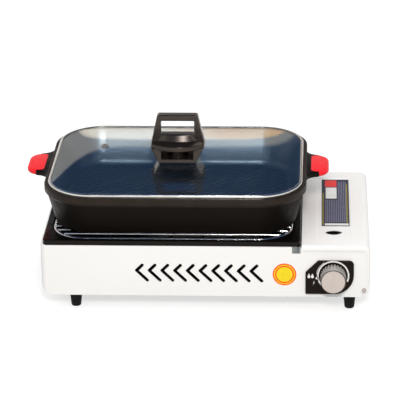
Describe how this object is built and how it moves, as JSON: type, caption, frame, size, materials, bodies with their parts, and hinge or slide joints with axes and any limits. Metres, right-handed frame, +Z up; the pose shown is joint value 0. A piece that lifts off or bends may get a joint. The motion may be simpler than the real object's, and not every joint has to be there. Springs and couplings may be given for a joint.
{
  "type": "portable gas grill",
  "caption": "Tabletop cartridge gas stove with a drip tray, a wire grate, a rectangular cast pan with side grips and a domed glass lid with an upright handle.",
  "frame": {"origin": "middle of the object's box, on the surface that the feet stand on", "axes": "+X to the side of the cartridge cover, +Y to the back, +Z up; the knob faces -Y"},
  "size_m": [0.444, 0.2936, 0.2174],
  "materials": {
    "casing_paint": "white powder coat, satin gloss",
    "zinc_plate": "zinc-plated sheet",
    "foot_rubber": "matt black rubber",
    "fastener_steel": "plated steel",
    "panel_plastic": "black, gloss",
    "regulator_cast": "die-cast, raw",
    "magnet": "dark ferrite",
    "brass": "turned",
    "piezo_plastic": "white",
    "lead_insulation": "red silicone insulation",
    "electrode_ceramic": "white ceramic",
    "burner_steel": "stainless tube",
    "knob_plastic": "dark, fluted",
    "knob_face": "satin",
    "tray_enamel": "black gloss enamel",
    "grate_chrome": "chrome-plated wire",
    "pan_coating": "cast aluminium with a black non-stick coating",
    "grip_silicone": "red silicone",
    "glass": "clear tempered glass",
    "lid_steel": "stainless",
    "handle_plastic": "black phenolic",
    "washer_rubber": "heat-proof washer"
  },
  "bodies": {
    "stove": {"casing": "casing_paint", "partition": "zinc_plate", "partition_bracket": "zinc_plate", "feet": "foot_rubber", "foot_screws": "fastener_steel", "control_panel": "panel_plastic", "hinge_pins": "fastener_steel", "regulator": "regulator_cast", "magnet_ring": "magnet", "gas_nozzle": "brass", "cartridge_guide": "zinc_plate", "piezo_igniter": "piezo_plastic", "igniter_lead": "lead_insulation", "electrode": "electrode_ceramic", "mixing_tube": "burner_steel", "burner": "burner_steel", "burner_stand": "zinc_plate", "heat_shield": "zinc_plate"},
    "knob": {"valve_spindle": "brass", "knob_body": "knob_plastic", "knob_cap": "knob_face"},
    "cover": {"cover_shell": "casing_paint"},
    "tray": {"drip_tray": "tray_enamel"},
    "grate": {"wire_grate": "grate_chrome"},
    "pan": {"pan": "pan_coating", "grip_left": "grip_silicone", "grip_right": "grip_silicone"},
    "lid": {"lid_glass": "glass", "lid_rim": "lid_steel", "lid_handle": "handle_plastic", "handle_screw": "fastener_steel", "handle_washer": "washer_rubber", "vent_eyelet": "lid_steel"}
  },
  "joints": [
    {"name": "knob_turn", "type": "hinge", "parent": "stove", "child": "knob", "pos_m": [0.176, -0.12275, 0.0505], "axis": [0, -1, 0], "range_deg": [0, 115]},
    {"name": "cover_swing", "type": "hinge", "parent": "stove", "child": "cover", "pos_m": [0.215, 0.00725, 0.0295], "axis": [0, 1, 0], "range_deg": [0, 95]},
    {"name": "tray_lift", "type": "slide", "parent": "stove", "child": "tray", "axis": [0, 0, 1], "range_m": [0, 0.1]},
    {"name": "grate_lift", "type": "slide", "parent": "tray", "child": "grate", "axis": [0, 0, 1], "range_m": [0, 0.08]},
    {"name": "pan_lift", "type": "slide", "parent": "grate", "child": "pan", "axis": [0, 0, 1], "range_m": [0, 0.12]},
    {"name": "lid_lift", "type": "slide", "parent": "pan", "child": "lid", "axis": [0, 0, 1], "range_m": [0, 0.12]}
  ]
}
